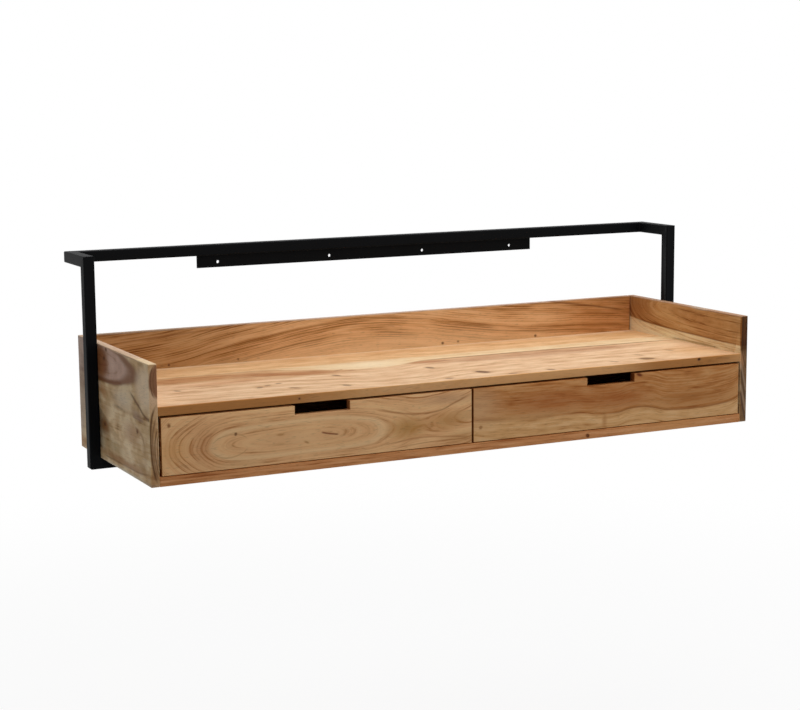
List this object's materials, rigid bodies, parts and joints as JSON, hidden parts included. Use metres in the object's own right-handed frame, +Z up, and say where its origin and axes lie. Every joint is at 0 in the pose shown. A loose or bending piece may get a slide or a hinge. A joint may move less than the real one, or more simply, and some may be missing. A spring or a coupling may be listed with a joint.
{
  "type": "floating wall desk",
  "caption": "Wall-hung acacia desk with raised sides and back, hand-notched dovetailed drawers, and a black square-tube frame whose hanger bar takes wall screws.",
  "frame": {"origin": "on the wall plane, at the middle of the inner pair of wall-screw holes in the hanger bar", "axes": "+X to the right along the desk as seen from the front, +Y into the wall, +Z up"},
  "size_m": [1.24, 0.39, 0.3805],
  "materials": {
    "powder_coated_steel": "matt black powder coat on mild steel",
    "acacia": "oiled solid acacia, satin",
    "drawer_board": "planed acacia, thin oil",
    "plywood": "sanded plywood",
    "runner_wood": "planed and waxed hardwood",
    "zinc_steel": "bright zinc-plated steel"
  },
  "bodies": {
    "desk": {"top_rail": "powder_coated_steel", "left_arm": "powder_coated_steel", "right_arm": "powder_coated_steel", "left_leg": "powder_coated_steel", "right_leg": "powder_coated_steel", "bottom_rail": "powder_coated_steel", "corner_welds": "powder_coated_steel", "hanger_bar": "powder_coated_steel", "left_side_panel": "acacia", "right_side_panel": "acacia", "back_panel": "acacia", "desktop": "acacia", "bottom_board": "acacia", "centre_divider": "acacia", "left_drawer_left_runner": "runner_wood", "left_drawer_right_runner": "runner_wood", "right_drawer_left_runner": "runner_wood", "right_drawer_right_runner": "runner_wood", "bottom_rail_screws": "zinc_steel", "leg_screws": "zinc_steel"},
    "left_drawer": {"left_drawer_front": "acacia", "left_drawer_left_side": "drawer_board", "left_drawer_right_side": "drawer_board", "left_drawer_back": "drawer_board", "left_drawer_bottom": "plywood"},
    "right_drawer": {"right_drawer_front": "acacia", "right_drawer_left_side": "drawer_board", "right_drawer_right_side": "drawer_board", "right_drawer_back": "drawer_board", "right_drawer_bottom": "plywood"}
  },
  "joints": [
    {"name": "left_drawer_slide", "type": "slide", "parent": "desk", "child": "left_drawer", "axis": [0, -1, 0], "range_m": [0, 0.25]},
    {"name": "right_drawer_slide", "type": "slide", "parent": "desk", "child": "right_drawer", "axis": [0, -1, 0], "range_m": [0, 0.25]}
  ]
}
